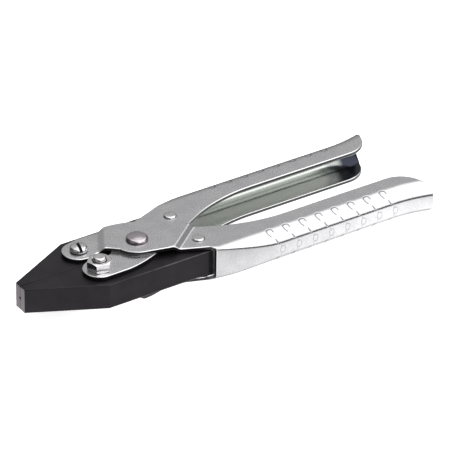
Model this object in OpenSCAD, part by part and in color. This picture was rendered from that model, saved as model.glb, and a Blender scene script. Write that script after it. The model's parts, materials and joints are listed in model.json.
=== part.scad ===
// Flat-nose parallel-action pliers, 200 mm long. Two pressed-steel channel handles cross at a
// middle pivot, and each carries the front of one jaw on a screw. A rivet near the back of each
// handle slides in a slot of the other jaw, so the two jaws stay parallel as they open. The two
// handles are the same pressing, one turned over onto the other.

/* [Overall] */
// Distance from the middle pivot to the tip of the jaws
tip_reach = 60; // [56:1:66]
// Distance from the middle pivot to the ends of the handles
handle_reach = 140; // [136:1:150]

/* [Jaws] */
// Thickness of the jaws
jaw_t = 12; // [11:0.5:13]
// Half the width over both jaws behind the shoulder
jaw_half_w = 20.2; // [19.6:0.1:20.4]
// Half the width over both jaws at the tip
tip_half_w = 3.6; // [3:0.1:6]
// Distance of the shoulder in front of the pivot
shoulder_x = 27; // [25:0.5:30]
// Distance of the jaw's tail behind the pivot
tail_x = 31; // [30:0.5:33]
// Gap between the closed gripping faces
jaw_gap = 0.2; // [0.1:0.05:0.4]
// Chamfer along the jaw's long edges
jaw_chamfer = 0.5; // [0.3:0.1:0.8]
// Half the width of the wire throat between the jaws
throat_half_w = 4.8; // [4.6:0.1:5.2]
// Depth of the wire groove in each gripping face
groove_depth = 0.8; // [0.5:0.1:1.2]

/* [Linkage] */
// Distance of each jaw screw and slot rivet from the pivot, along the tool
pin_x = 24.8; // [24:0.1:25]
// Distance of each jaw screw from the pivot, across the tool
pin_y = 8.6; // [8.4:0.1:9]
// Distance of each slot rivet from the pivot, across the tool
slot_pin_y = 11.4; // [11:0.1:11.6]
// Angle between the two handles when they are open as far as they go
open_angle = 40; // [30:1:40]
// Diameter of the jaw screws
screw_d = 6; // [5:0.5:6]
// Diameter of the slot rivets where they slide in the jaws
slot_rivet_d = 5.4; // [5:0.1:5.6]
// Radial clearance of each shank in its hole
fit_gap = 0.05; // [0.03:0.01:0.1]
// Clearance on each side of a slot rivet in its slot
slot_gap = 0.2; // [0.18:0.01:0.3]

/* [Handles] */
// Thickness of the sheet that the handles are pressed from
sheet_t = 1.8; // [1.6:0.1:2]
// Half the height over a handle's two cheeks
half_h = 8; // [7.9:0.1:8.4]
// Gap between the raised cheeks and the flat cheeks that they cross
cross_gap = 0.15; // [0.1:0.05:0.3]
// Half the width over both handles at the grips
grip_half_w = 28; // [27:0.5:29]
// Distance across the tool where the cheeks start to bend round
bend_y = 20.7; // [20:0.1:21.5]
// Distance from the pivot to the front edge of a handle's back wall
web_front_x = 27; // [26.5:0.5:28]
// Distance from the pivot to where the back wall has its full width
bulge_end_x = 60; // [55:1:70]
// Distance across the tool to the palm edge of the cheeks
palm_y = 13.5; // [13:0.1:15]
// Distance from the pivot to where the handles start to flare
flare_x = 120; // [115:1:125]
// How far the flare widens each handle
flare_out = 3; // [2:0.5:4]
// Radius of the rounded ends of the cheeks
end_r = 12.9; // [10:0.1:14]
// Radius of the round ends that hold the jaw screws
lobe_r = 7.6; // [7:0.1:8]

/* [Fasteners] */
// Diameter and height of a pivot rivet's domed head
pivot_head_d = 10; // [9:0.5:11]
// Height of a pivot rivet's domed head
pivot_head_h = 2.2; // [1.5:0.1:2.5]
// Diameter of a pivot rivet's shank
pivot_shank_d = 7; // [6:0.5:7]
// Diameter of a slot rivet's domed head
slot_head_d = 6; // [5.5:0.1:6.2]
// Height of a slot rivet's domed head
slot_head_h = 1; // [0.8:0.1:1.4]
// Distance across the flats of a nut
nut_w = 10; // [9:0.5:11]
// Height of a nut
nut_h = 4.4; // [4:0.1:5]
// How far a screw's rounded end stands out of its nut
screw_end_h = 1.6; // [1:0.1:1.6]
// Diameter of a screw's slotted head
screw_head_d = 8; // [7.5:0.1:8.5]
// Height of a screw's slotted head
screw_head_h = 2.8; // [2.6:0.1:3.8]

/* [Hidden] */
$fn = 96;
big_fn = 360;
far_away = 200;
cheek_in = half_h - sheet_t;
raised_in = half_h + cross_gap;
raised_out = raised_in + sheet_t;
half_total = half_h + nut_h + screw_end_h;
pivot_at = [(tip_reach - handle_reach) / 2, 0, half_total];
slot_travel = 2 * pin_x * (1 - cos(open_angle / 2)) + (pin_y + slot_pin_y) * sin(open_angle / 2);
jaw_screw_xy = [-pin_x, pin_y];
slot_rivet_xy = [pin_x, slot_pin_y];
hole_slack = 2 * fit_gap;
// The back wall bulges along one large arc from its front edge to its full width
web_front_y = 22.8;
bulge_rise = grip_half_w - web_front_y;
bulge_run = bulge_end_x - web_front_x;
bulge_r = (bulge_run * bulge_run + bulge_rise * bulge_rise) / (2 * bulge_rise);
// The palm edge runs along another arc from the crotch to the straight stretch
palm_x = 70;
palm_r = 78;
crotch_x = 27;
crotch_y = palm_y - palm_r + sqrt(palm_r * palm_r - pow(palm_x - crotch_x, 2));
// The flare turns about an upright axis outside the handle
flare_run = handle_reach - flare_x;
flare_r = (flare_run * flare_run + flare_out * flare_out) / (2 * flare_out);
flare_angle = asin(flare_run / flare_r) + 2;
// A raised cheek steps down to the jaw screw and to the grip across two folds, each given by
// the direction and the distance of its middle line from the pivot and half its width
front_fold = [-149.5, 15.8, 1.35];
rear_fold = [52, 18.4, 1.1];
// Shape of the jaws
tail_r = 7;
throat_front_x = 12;
throat_ramp = 4;
pivot_inner_h = 1;
pivot_inner_d = 8.4;
slot_shank_d = 4;
screw_slot_w = 1.3;
screw_slot_depth = 1.5;
screw_slot_angle = 76;

steel = "silver";
bright = "gainsboro";
black = "dimgray";

function arc(c, r, a0, a1, n = 16) =
    [for (i = [0:n]) c + r * [cos(a0 + (a1 - a0) * i / n), sin(a0 + (a1 - a0) * i / n)]];
function curve(p, q, s, n = 8) =
    [for (i = [0:n]) let (t = i / n) pow(1 - t, 2) * p + 2 * t * (1 - t) * q + t * t * s];

module place() {
    translate(pivot_at) children();
}

// Children keep +Y for the far half of the tool, and are mirrored for the near half
module near_side() {
    mirror([0, 1, 0]) children();
}

module both_faces() {
    children();
    mirror([0, 0, 1]) children();
}

// ---- Handles, drawn with the grip at +Y, the jaw screw at -Y and the raised cheek on top ----

// Outline of the flat crossing cheek
module flat_cheek_plan() {
    lobe = [-pin_x, -pin_y];
    polygon(concat(
        arc(lobe, lobe_r, -90, -285, 24),
        curve([-22.4, -1.4], [-17.9, -3.6], [-13.6, 0]),
        arc([0, 0], 10.9, 164, 102),
        [[2, 13.4], [8, 16.2], [13.4, 17.7], [20.3, 20.2]],
        [[web_front_x, web_front_y], [36, 20], [36, crotch_y], [crotch_x, crotch_y]],
        curve([3.2, -11.4], [-6, -15.4], [-14, -16.1])
    ));
}

// Outline of the raised cheek, which is wider over the pivot
module raised_cheek_plan() {
    lobe = [-pin_x, -pin_y];
    polygon(concat(
        arc(lobe, lobe_r, -104, -285, 24),
        curve([-22.4, -1.4], [-17.9, -3.6], [-13.6, 0]),
        arc([0, 0], 10.9, 164, 102),
        [[13.4, 14.6], [25.3, 19.8]],
        [[web_front_x, web_front_y], [36, 20], [36, crotch_y], [crotch_x, crotch_y]],
        curve([8, -13.2], [-1, -17.2], [-9, -16.9]),
        [[-21, -17.1]]
    ));
}

// Everything inside the back wall's outer face, moved in by inset
module wall_plan(inset) {
    translate([bulge_end_x, -far_away]) {
        square([flare_x - bulge_end_x, far_away + grip_half_w - inset]);
    }
    intersection() {
        translate([bulge_end_x, grip_half_w - bulge_r]) circle(r = bulge_r - inset, $fn = big_fn);
        translate([web_front_x, -far_away]) square([bulge_run, 2 * far_away]);
    }
}

// The space between the two grips
module palm_plan() {
    intersection() {
        union() {
            translate([palm_x, palm_y - palm_r]) circle(r = palm_r, $fn = big_fn);
            translate([palm_x, palm_y - palm_r]) square([far_away, palm_r]);
        }
        translate([crotch_x, -far_away]) square(2 * far_away);
    }
}

// The rounded end of the cheeks
module end_plan() {
    translate([-far_away, -far_away]) square([far_away + handle_reach - end_r, 2 * far_away]);
    translate([0, palm_y + end_r]) square([handle_reach, far_away]);
    translate([handle_reach - end_r, palm_y + end_r]) circle(r = end_r);
}

// Cross-section of the channel, with Y across and the height up, moved in by inset
module channel_section(inset) {
    h = half_h - inset;
    intersection() {
        union() {
            translate([bend_y, 0]) circle(r = h);
            translate([-30, -h]) square([bend_y + 30, 2 * h]);
        }
        translate([-30, -h]) square([30 + grip_half_w - inset, 2 * h]);
    }
}

module channel_bar(inset, from_x) {
    translate([from_x, 0, 0]) rotate([90, 0, 90]) linear_extrude(flare_x - from_x) channel_section(inset);
}

module flare_bar(inset) {
    axis_y = grip_half_w + flare_r;
    translate([flare_x, axis_y, 0]) rotate([0, 0, -90]) rotate_extrude(angle = flare_angle, $fn = big_fn) {
        intersection() {
            translate([axis_y, 0]) mirror([1, 0]) channel_section(inset);
            translate([0, -half_h]) square([axis_y - 5, 2 * half_h]);
        }
    }
}

module upright(h = half_h) {
    translate([0, 0, -h]) linear_extrude(2 * h) children();
}

// The grip and the low cheeks. The child is the outline of the crossing cheek.
module channel() {
    difference() {
        intersection() {
            channel_bar(0, -pin_x - 2 * lobe_r);
            upright() {
                difference() {
                    union() {
                        children();
                        difference() {
                            wall_plan(0);
                            translate([-far_away, -far_away]) square([2 * far_away, far_away]);
                        }
                    }
                    palm_plan();
                }
            }
        }
        intersection() {
            channel_bar(sheet_t, -2 * pin_x);
            upright(far_away) {
                wall_plan(sheet_t);
                translate([-far_away, -far_away]) square([far_away + web_front_x, 2 * far_away]);
            }
        }
    }
    intersection() {
        difference() {
            flare_bar(0);
            flare_bar(sheet_t);
        }
        upright() {
            difference() {
                end_plan();
                palm_plan();
            }
        }
    }
}

// The pivot's side of a line that is parallel to a fold and at distance s from the pivot
module pivot_side_plan(fold, s) {
    rotate(fold[0]) translate([s - far_away, -far_away / 2]) square(far_away);
}

// A bar along a fold's line. Its section has the distance from the pivot across and the height up.
module fold_bar(fold, points) {
    rotate([0, 0, fold[0]]) rotate([90, 0, 0]) linear_extrude(far_away, center = true) polygon(points);
}

// Everything above the middle and under a face that is raised between the folds and low beyond
// them. The rear bar's slope runs on upward, so that only the front bar limits the raised face.
module under_face(low, margin) {
    climb = (raised_in - cheek_in) / 2;
    front_far = front_fold[1] + front_fold[2];
    rear_far = rear_fold[1] + rear_fold[2];
    slope = climb / rear_fold[2];
    intersection() {
        fold_bar(front_fold, [
            [-far_away, -margin], [-far_away, low + 2 * climb], [front_far - 2 * front_fold[2], low + 2 * climb],
            [front_far, low], [far_away, low], [far_away, -margin]
        ]);
        fold_bar(rear_fold, [
            [-far_away, -margin], [-far_away, low + slope * (rear_far + far_away)],
            [rear_far, low], [rear_far + 1 + margin, low], [rear_far + 1 + margin, -margin]
        ]);
    }
}

// The raised crossing cheek, from the jaw screw to just past the rear fold
module raised_cheek() {
    intersection() {
        difference() {
            under_face(half_h, 0);
            under_face(cheek_in, 1);
        }
        upright(half_total) raised_cheek_plan();
    }
}

// The part of the flat outline that the raised cheek takes the place of
module replaced_plan() {
    difference() {
        translate([-far_away, -far_away]) square([far_away + web_front_x, 2 * far_away]);
        difference() {
            raised_cheek_plan();
            pivot_side_plan(rear_fold, rear_fold[1] + rear_fold[2]);
        }
    }
}

module shank_hole(xy, d) {
    translate([xy[0], xy[1], -half_total]) cylinder(d = d + hole_slack, h = 2 * half_total);
}

module handle() {
    difference() {
        union() {
            difference() {
                channel() flat_cheek_plan();
                linear_extrude(half_total) replaced_plan();
            }
            raised_cheek();
        }
        shank_hole([0, 0], pivot_shank_d);
        shank_hole([-pin_x, -pin_y], screw_d);
        shank_hole(slot_rivet_xy, slot_shank_d);
    }
}

module near_handle() {
    color(steel) place() near_side() handle();
}

module far_handle() {
    color(steel) place() mirror([0, 0, 1]) handle();
}

// ---- Jaws, drawn for the far side ----

module jaw_plan() {
    face_y = jaw_gap / 2;
    polygon(concat(
        [[-tip_reach, face_y], [-tip_reach, tip_half_w], [-shoulder_x, jaw_half_w]],
        arc([tail_x - tail_r, jaw_half_w - tail_r], tail_r, 90, 0),
        [[tail_x, throat_half_w], [throat_ramp - throat_front_x, throat_half_w], [-throat_front_x, face_y]]
    ));
}

// Takes the sharp edge off the top of the jaw between two points
module edge_chamfer(p, q) {
    run = q - p;
    translate([p[0], p[1], jaw_t / 2]) rotate([0, 0, atan2(run[1], run[0])]) rotate([45, 0, 0]) {
        translate([-1, -jaw_chamfer / sqrt(2), -jaw_chamfer / sqrt(2)]) {
            cube([norm(run) + 2, sqrt(2) * jaw_chamfer, sqrt(2) * jaw_chamfer]);
        }
    }
}

module slot_cut() {
    d = slot_rivet_d + 2 * slot_gap;
    for (x = [0, -slot_travel]) {
        translate([pin_x + x, slot_pin_y, -jaw_t]) cylinder(d = d, h = 2 * jaw_t);
    }
    translate([pin_x - slot_travel, slot_pin_y - d / 2, -jaw_t]) cube([slot_travel, d, 2 * jaw_t]);
}

module jaw() {
    difference() {
        translate([0, 0, -jaw_t / 2]) linear_extrude(jaw_t) jaw_plan();
        shank_hole(jaw_screw_xy, screw_d);
        slot_cut();
        both_faces() {
            edge_chamfer([-tip_reach, tip_half_w], [-shoulder_x, jaw_half_w]);
            edge_chamfer([-shoulder_x, jaw_half_w], [tail_x - tail_r, jaw_half_w]);
            edge_chamfer([-tip_reach, 0], [-tip_reach, tip_half_w]);
        }
        translate([-tip_reach - 1, 0, 0]) rotate([45, 0, 0]) {
            translate([0, -groove_depth, -groove_depth]) {
                cube([tip_reach, 2 * groove_depth, 2 * groove_depth] + [1 - throat_front_x, 0, 0]);
            }
        }
    }
}

module near_jaw() {
    color(black) place() near_side() jaw();
}

module far_jaw() {
    color(black) place() jaw();
}

// ---- Rivets ----

// Cap of a sphere that stands h above a circle of diameter d
module dome(d, h) {
    r = (d * d / 4 + h * h) / (2 * h);
    intersection() {
        translate([0, 0, h - r]) sphere(r = r);
        cylinder(d = d, h = h);
    }
}

// A headed rivet through the two upper cheeks, peened over just inside them
module pivot_rivet() {
    inner_top = cheek_in - fit_gap;
    translate([0, 0, raised_out]) {
        cylinder(d = pivot_head_d, h = pivot_head_h / 4);
        translate([0, 0, pivot_head_h / 4]) dome(pivot_head_d, pivot_head_h * 3 / 4);
    }
    translate([0, 0, inner_top]) cylinder(d = pivot_shank_d, h = raised_out - inner_top);
    translate([0, 0, inner_top - pivot_inner_h]) cylinder(d = pivot_inner_d, h = pivot_inner_h);
}

module top_pivot_rivet() {
    color(bright) place() pivot_rivet();
}

module bottom_pivot_rivet() {
    color(bright) place() mirror([0, 0, 1]) pivot_rivet();
}

// A shouldered rivet that ties a handle's two cheeks together and slides in a jaw's slot
module slot_rivet() {
    shoulder = cheek_in - fit_gap;
    translate([slot_rivet_xy[0], slot_rivet_xy[1], 0]) {
        translate([0, 0, -shoulder]) cylinder(d = slot_rivet_d, h = 2 * shoulder);
        translate([0, 0, -half_h]) cylinder(d = slot_shank_d, h = 2 * half_h);
        both_faces() translate([0, 0, half_h]) dome(slot_head_d, slot_head_h);
    }
}

module near_slot_rivet() {
    color(bright) place() near_side() slot_rivet();
}

module far_slot_rivet() {
    color(bright) place() slot_rivet();
}

// ---- Jaw screws and nuts, drawn with the head up ----

module jaw_screw() {
    difference() {
        union() {
            translate([0, 0, half_h]) {
                cylinder(d = screw_head_d, h = screw_head_h - 1);
                translate([0, 0, screw_head_h - 1]) dome(screw_head_d, 1);
            }
            translate([0, 0, screw_end_h - half_total]) cylinder(d = screw_d, h = half_total + half_h - screw_end_h);
            translate([0, 0, screw_end_h - half_total]) mirror([0, 0, 1]) dome(screw_d, screw_end_h);
        }
        rotate([0, 0, screw_slot_angle]) {
            translate([-screw_head_d, -screw_slot_w / 2, half_h + screw_head_h - screw_slot_depth]) {
                cube([2 * screw_head_d, screw_slot_w, half_total]);
            }
        }
    }
}

module jaw_nut() {
    corner_d = nut_w / cos(30);
    translate([0, 0, -half_h - nut_h]) {
        difference() {
            intersection() {
                rotate([0, 0, 14]) cylinder(d = corner_d, h = nut_h, $fn = 6);
                translate([0, 0, nut_h + 2.4 - corner_d]) sphere(r = corner_d);
                translate([0, 0, corner_d - 2.4]) sphere(r = corner_d);
            }
            translate([0, 0, -1]) cylinder(d = screw_d + hole_slack, h = nut_h + 2);
        }
    }
}

module at_far_jaw_screw() {
    place() translate([-pin_x, pin_y, 0]) children();
}

// The near jaw's screw goes in from below
module at_near_jaw_screw() {
    place() translate([-pin_x, -pin_y, 0]) mirror([0, 0, 1]) children();
}

module near_jaw_screw() {
    color(bright) at_near_jaw_screw() jaw_screw();
}

module near_jaw_nut() {
    color(bright) at_near_jaw_screw() jaw_nut();
}

module far_jaw_screw() {
    color(bright) at_far_jaw_screw() jaw_screw();
}

module far_jaw_nut() {
    color(bright) at_far_jaw_screw() jaw_nut();
}

near_handle();
far_handle();
near_jaw();
far_jaw();
top_pivot_rivet();
bottom_pivot_rivet();
near_slot_rivet();
far_slot_rivet();
near_jaw_screw();
near_jaw_nut();
far_jaw_screw();
far_jaw_nut();
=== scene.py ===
"""Detailed meshes, materials, light and camera for a pair of parallel-action pliers.

Lengths are in millimetres unless they say otherwise, and every mesh is built around the middle
pivot. A handle or a jaw is drawn with its grip or its outer flank at +Y and the handle's raised
cheek on top; placing it turns it to its own side of the tool and scales it to metres.
"""
import json
import math

import bmesh
import bpy
from mathutils import Matrix, Vector, geometry


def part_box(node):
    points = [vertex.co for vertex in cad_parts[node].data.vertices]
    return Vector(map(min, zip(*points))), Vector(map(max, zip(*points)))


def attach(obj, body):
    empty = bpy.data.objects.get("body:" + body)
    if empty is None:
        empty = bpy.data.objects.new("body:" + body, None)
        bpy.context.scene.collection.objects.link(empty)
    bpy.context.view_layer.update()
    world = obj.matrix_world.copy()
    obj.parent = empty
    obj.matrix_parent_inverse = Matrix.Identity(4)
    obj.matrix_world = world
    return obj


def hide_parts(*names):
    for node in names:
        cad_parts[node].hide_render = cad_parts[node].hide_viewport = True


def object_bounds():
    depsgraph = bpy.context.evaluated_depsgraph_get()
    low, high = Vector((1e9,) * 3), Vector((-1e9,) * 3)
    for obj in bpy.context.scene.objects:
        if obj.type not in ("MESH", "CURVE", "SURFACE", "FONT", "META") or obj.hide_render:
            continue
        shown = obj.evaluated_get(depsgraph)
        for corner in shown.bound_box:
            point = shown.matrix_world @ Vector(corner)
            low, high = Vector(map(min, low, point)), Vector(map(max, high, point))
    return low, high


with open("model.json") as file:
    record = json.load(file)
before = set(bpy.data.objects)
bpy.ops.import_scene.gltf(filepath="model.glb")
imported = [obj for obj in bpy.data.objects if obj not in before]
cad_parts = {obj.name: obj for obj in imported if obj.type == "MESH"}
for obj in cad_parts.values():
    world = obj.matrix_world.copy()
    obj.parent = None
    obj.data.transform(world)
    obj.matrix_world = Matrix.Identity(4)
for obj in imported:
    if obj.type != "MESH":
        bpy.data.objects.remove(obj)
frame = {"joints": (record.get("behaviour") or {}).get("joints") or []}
cad_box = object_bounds()

MM = 0.001
JOINTS = {joint["name"]: Vector(joint["pos_m"]) / MM for joint in frame["joints"]}
PIVOT = JOINTS["handle_pivot"]


def node_box(node):
    """A CAD node's lowest and highest corners from the middle pivot, in millimetres."""
    low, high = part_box(node)
    return low / MM - PIVOT, high / MM - PIVOT


# ---- Sizes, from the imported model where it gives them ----
PIN_X = abs((JOINTS["far_jaw_pivot"] - PIVOT).x)
PIN_Y = abs((JOINTS["far_jaw_pivot"] - PIVOT).y)
SLOT_PIN_Y = (node_box("far_slot_rivet")[0].y + node_box("far_slot_rivet")[1].y) / 2
HANDLE_REACH = node_box("near_handle")[1].x
HANDLE_OUT = node_box("far_handle")[1].y
JAW_LOW, JAW_HIGH = node_box("far_jaw")
RIVET_TOP = node_box("top_pivot_rivet")[1].z
RIVET_R = node_box("top_pivot_rivet")[1].x
SLOT_RIVET_TOP = node_box("far_slot_rivet")[1].z
SLOT_RIVET_HEAD_R = 3.0
SCREW_LOW, SCREW_HIGH = node_box("far_jaw_screw")
NUT_LOW, NUT_HIGH = node_box("far_jaw_nut")

# Handles
SHEET_T = 1.8
HALF_H = 8.0
# The raised cheek clears the flat one that it crosses by a little
RAISE = SHEET_T + 0.15
BEND_Y = 20.7
WEB_FRONT = (27.0, 22.8)
BULGE_END_X = 60.0
GRIP_Y = 28.0
PALM_Y = 13.5
PALM_X = 70.0
PALM_R = 78.0
CROTCH_X = WEB_FRONT[0]
FLARE_X = 120.0
END_R = 12.9
LOBE_R = 7.6
PIVOT_SIDE_R = 10.9
# Spacing of the points on a cheek's edge and folds, and the room the folds leave at the edge
PLAN_STEP = 0.5
FOLD_GAP = 0.45
# The crease between a bend and the back wall is tighter at the wall's front edge
FRONT_CREASE_R = 1.0
CREASE_R = 2.6
INNER_CREASE_SHARE = 0.35
EDGE_R = 0.42
HOLE_STEPS = 48
SCREW_HOLE_R = 3.05
RIVET_HOLE_R = 3.55
SLOT_RIVET_HOLE_R = 2.05
# Each fold has its direction and distance from the pivot and half its width
FRONT_FOLD = (-149.5, 15.8, 1.35)
REAR_FOLD = (52.0, 18.4, 1.1)
# How much of each end of a fold's slope is rounded
FOLD_ROUND = 0.2
# Steps along a fold's line to each side of its middle
FOLD_STEPS = 50
# Where the raised and the flat cheek's front edge meets the edge of the back wall
RAISED_CORNER = (25.3, 19.8)
FLAT_CORNER = (20.3, 20.2)

FLARE_RUN = HANDLE_REACH - FLARE_X
FLARE_OUT = HANDLE_OUT - GRIP_Y
FLARE_R = (FLARE_RUN ** 2 + FLARE_OUT ** 2) / (2 * FLARE_OUT)
FLARE_AXIS_Y = GRIP_Y + FLARE_R
END_SLOPE = math.tan(FLARE_RUN / FLARE_R)
BULGE_RUN = BULGE_END_X - WEB_FRONT[0]
BULGE_RISE = GRIP_Y - WEB_FRONT[1]
BULGE_R = (BULGE_RUN ** 2 + BULGE_RISE ** 2) / (2 * BULGE_RISE)
END_CENTRE = (HANDLE_REACH - END_R, PALM_Y + END_R)
# The end bows in from the middle of the back wall, by this much where the cheeks start
END_BOW = 2.0
BOW_SPAN = 12.6
# About half the height of the back wall's flat part
HALF_WALL = HALF_H / 2

# Grip mesh: columns run round the channel from one palm edge to the other, and rows run along it.
# Counts of the columns across a cheek's flat rim, a bend, a crease and half the back wall
N_FLAT = 9
N_BEND = 32
N_CREASE = 5
N_WEB = 11
MIDDLE = N_FLAT + N_BEND + N_CREASE + N_WEB
COLS = 2 * MIDDLE
# Before this x the cheeks take the place of the channel's flat columns
JOIN_X = 40.0
FINE_FROM_X = 51.0
LAST_X = 122.0
# Counts of the rows up to JOIN_X, up to FINE_FROM_X, along the grip marks and over the end
N_FRONT_ROWS = 7
N_COARSE_ROWS = 6
N_FINE_ROWS = 250
N_END_ROWS = 14

# Grip marks: one figure is repeated along the grip
MARK_FROM_X = 53.3
MARK_PITCH = 8.8
N_MARKS = 8
MARK_DEPTH = 0.17
MARK_HALF_W = 0.46
# The ring and its stem on the back wall are fainter
LIGHT_MARK = 0.4
LIGHT_HALF_W = 0.36

# How every mesh is finished: edges sharper than this stay sharp, and closer points are joined
SHARP = math.radians(50)
WELD = 0.002
# A quarter-round edge's middle is this share of its radius in from both sides
ROUND_MIDDLE = 0.29

# How a shape is turned to its place: it is drawn for the far side with the raised cheek on top
FAR = Matrix.Identity(3)
NEAR = Matrix.Diagonal((1, -1, 1))
UNDER = Matrix.Diagonal((1, 1, -1))
NEAR_UNDER = Matrix.Diagonal((1, -1, -1))


def lerp(a, b, t):
    """The number a share t of the way from a to b."""
    return a + (b - a) * t


def arc(centre, radius, start, end, steps):
    """Points on an arc, from one angle to another in degrees."""
    angles = [math.radians(lerp(start, end, i / steps)) for i in range(steps + 1)]
    return [(centre[0] + radius * math.cos(a), centre[1] + radius * math.sin(a)) for a in angles]


def circle(centre, radius, steps):
    """Points round a full circle, without the first one again."""
    return arc(centre, radius, 0, 360 - 360 / steps, steps - 1)


def curve(p, q, r, steps=12):
    """Points on a curve from p to r that heads for q first."""
    out = []
    for i in range(steps + 1):
        t = i / steps
        a, b, c = (1 - t) ** 2, 2 * t * (1 - t), t * t
        out.append((a * p[0] + b * q[0] + c * r[0], a * p[1] + b * q[1] + c * r[1]))
    return out


def densify(points, spacing):
    """The open polyline with extra points, so that none are further apart than the spacing."""
    out = [points[0]]
    for p, q in zip(points, points[1:]):
        steps = max(1, math.ceil(math.dist(p, q) / spacing))
        out += [(lerp(p[0], q[0], i / steps), lerp(p[1], q[1], i / steps)) for i in range(1, steps + 1)]
    return out


# What a part of a surface is, for the materials: a rubbed edge that also carries a painted highlight, a
# cut wall or a fastener's seat painted dark as shade, a handle's inside
PLAIN = (0, 0, 0)
RUBBED_HIGHLIGHT = (1, 0, 0)
SHADE_ZONE = (0, 1, 0)
INSIDE = (0, 0, 1)


class Shape:
    """Points and faces that become one mesh, in millimetres from the pivot."""

    def __init__(self):
        self.points = []
        self.faces = []
        self.zones = []

    def add(self, point, zone=PLAIN):
        """A point's number. Its fourth coordinate, from 0 to 1, marks a grip groove, a handle's inner
        wall painted pale as a painted reflection, or a jaw's rubbed edge that also carries a painted
        highlight."""
        self.points.append(tuple(point[:3]))
        self.zones.append((*zone, point[3] if len(point) > 3 else 0))
        return len(self.points) - 1

    def strip(self, first, second, closed=False):
        """Faces between two equally long rows of point numbers."""
        count = len(first)
        for i in range(count if closed else count - 1):
            j = (i + 1) % count
            self.faces.append((first[i], first[j], second[j], second[i]))

    def grid(self, rows, closed=False, zones=None):
        """Faces between rows of points, with each row's zone."""
        zones = zones or [PLAIN] * len(rows)
        numbers = [[self.add(p, zone) for p in row] for row, zone in zip(rows, zones)]
        for first, second in zip(numbers, numbers[1:]):
            self.strip(first, second, closed)

    def mesh(self, name, turn):
        """The shape as a closed Blender mesh in metres, turned by a 3x3 matrix about the pivot."""
        bm = bmesh.new()
        layer = bm.verts.layers.float_color.new("zones")
        verts = [bm.verts.new(turn @ Vector(p)) for p in self.points]
        for vert, zone in zip(verts, self.zones):
            vert[layer] = zone
        for face in self.faces:
            corners = [verts[i] for i in face]
            bm.faces.new(corners)
        bmesh.ops.remove_doubles(bm, verts=bm.verts, dist=WELD)
        loose = [v for v in bm.verts if not v.link_faces]
        bmesh.ops.delete(bm, geom=loose, context="VERTS")
        bmesh.ops.recalc_face_normals(bm, faces=bm.faces)
        if bm.calc_volume(signed=True) < 0:
            bmesh.ops.reverse_faces(bm, faces=bm.faces)
        for vert in bm.verts:
            vert.co = (vert.co + PIVOT) * MM
        mesh = bpy.data.meshes.new(name)
        bm.to_mesh(mesh)
        bm.free()
        for polygon in mesh.polygons:
            polygon.use_smooth = True
        mesh.set_sharp_from_angle(angle=SHARP)
        return mesh


# ---- Handles ----
def wall_y(x):
    """The back wall's outer face, which bulges along an arc from the front edge."""
    ahead = BULGE_END_X - min(max(x, WEB_FRONT[0]), BULGE_END_X)
    return GRIP_Y - BULGE_R + math.sqrt(BULGE_R ** 2 - ahead ** 2)


def palm_y(x):
    """The palm edge, before the flare bends the handle outward."""
    if x < PALM_X:
        return PALM_Y - PALM_R + math.sqrt(PALM_R ** 2 - (PALM_X - x) ** 2)
    if x < FLARE_X:
        return PALM_Y
    return FLARE_AXIS_Y - (FLARE_AXIS_Y - PALM_Y) / math.cos((x - FLARE_X) / FLARE_R)


def flared(x, y, z, mark=0.0):
    """The point after the flare, which turns about an upright axis outside the handle."""
    if x <= FLARE_X:
        return (x, y, z, mark)
    angle = (x - FLARE_X) / FLARE_R
    reach = FLARE_AXIS_Y - y
    return (FLARE_X + reach * math.sin(angle), FLARE_AXIS_Y - reach * math.cos(angle), z, mark)


def groove(distance, half_w):
    """Depth of a rounded groove at a distance from its middle line, from 0 to 1."""
    if distance >= half_w:
        return 0.0
    return (1 - (distance / half_w) ** 2) ** 2


def distance_to_path(x, u, path):
    """Distance from a point to an open polyline."""
    best = 99.0
    for (x0, u0), (x1, u1) in zip(path, path[1:]):
        run, rise = x1 - x0, u1 - u0
        t = ((x - x0) * run + (u - u0) * rise) / (run * run + rise * rise)
        t = min(1.0, max(0.0, t))
        best = min(best, math.hypot(x - x0 - t * run, u - u0 - t * rise))
    return best


ARCH = [(0.9, 5.2), (0.1, 3.6)] + [(1.6 + 1.5 * p, 2.1 + 1.2 * q) for p, q in
                                   arc((0, 0), 1, 180, 360, 8)] + [(3.1, 3.3)]
TICK = [(2.5, 6.8), (3.2, 8.6)]
STEM = [(4.6, 9.6), (4.8, 10.7)]
RING_AT = (5.6, 12.0)
RING_R = 1.25


def mark_at(x, u):
    """Depth of the grip marks, from 0 to 1, at x along the tool and u round it from the bend's start."""
    if not MARK_FROM_X - 1 < x < MARK_FROM_X + N_MARKS * MARK_PITCH or u < -0.5:
        return 0.0
    along = (x - MARK_FROM_X + 1) % MARK_PITCH - 1
    lines = min(distance_to_path(along, u, path) for path in (ARCH, TICK))
    ring = abs(math.hypot(along - RING_AT[0], u - RING_AT[1]) - RING_R)
    light = min(ring, distance_to_path(along, u, STEM))
    return max(groove(lines, MARK_HALF_W), LIGHT_MARK * groove(light, LIGHT_HALF_W))


# The inside of the back wall is painted paler than the bends, as a painted reflection, and is rougher; the
# pale paint fades in over this angle
PALE_TO = math.radians(14)


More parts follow.
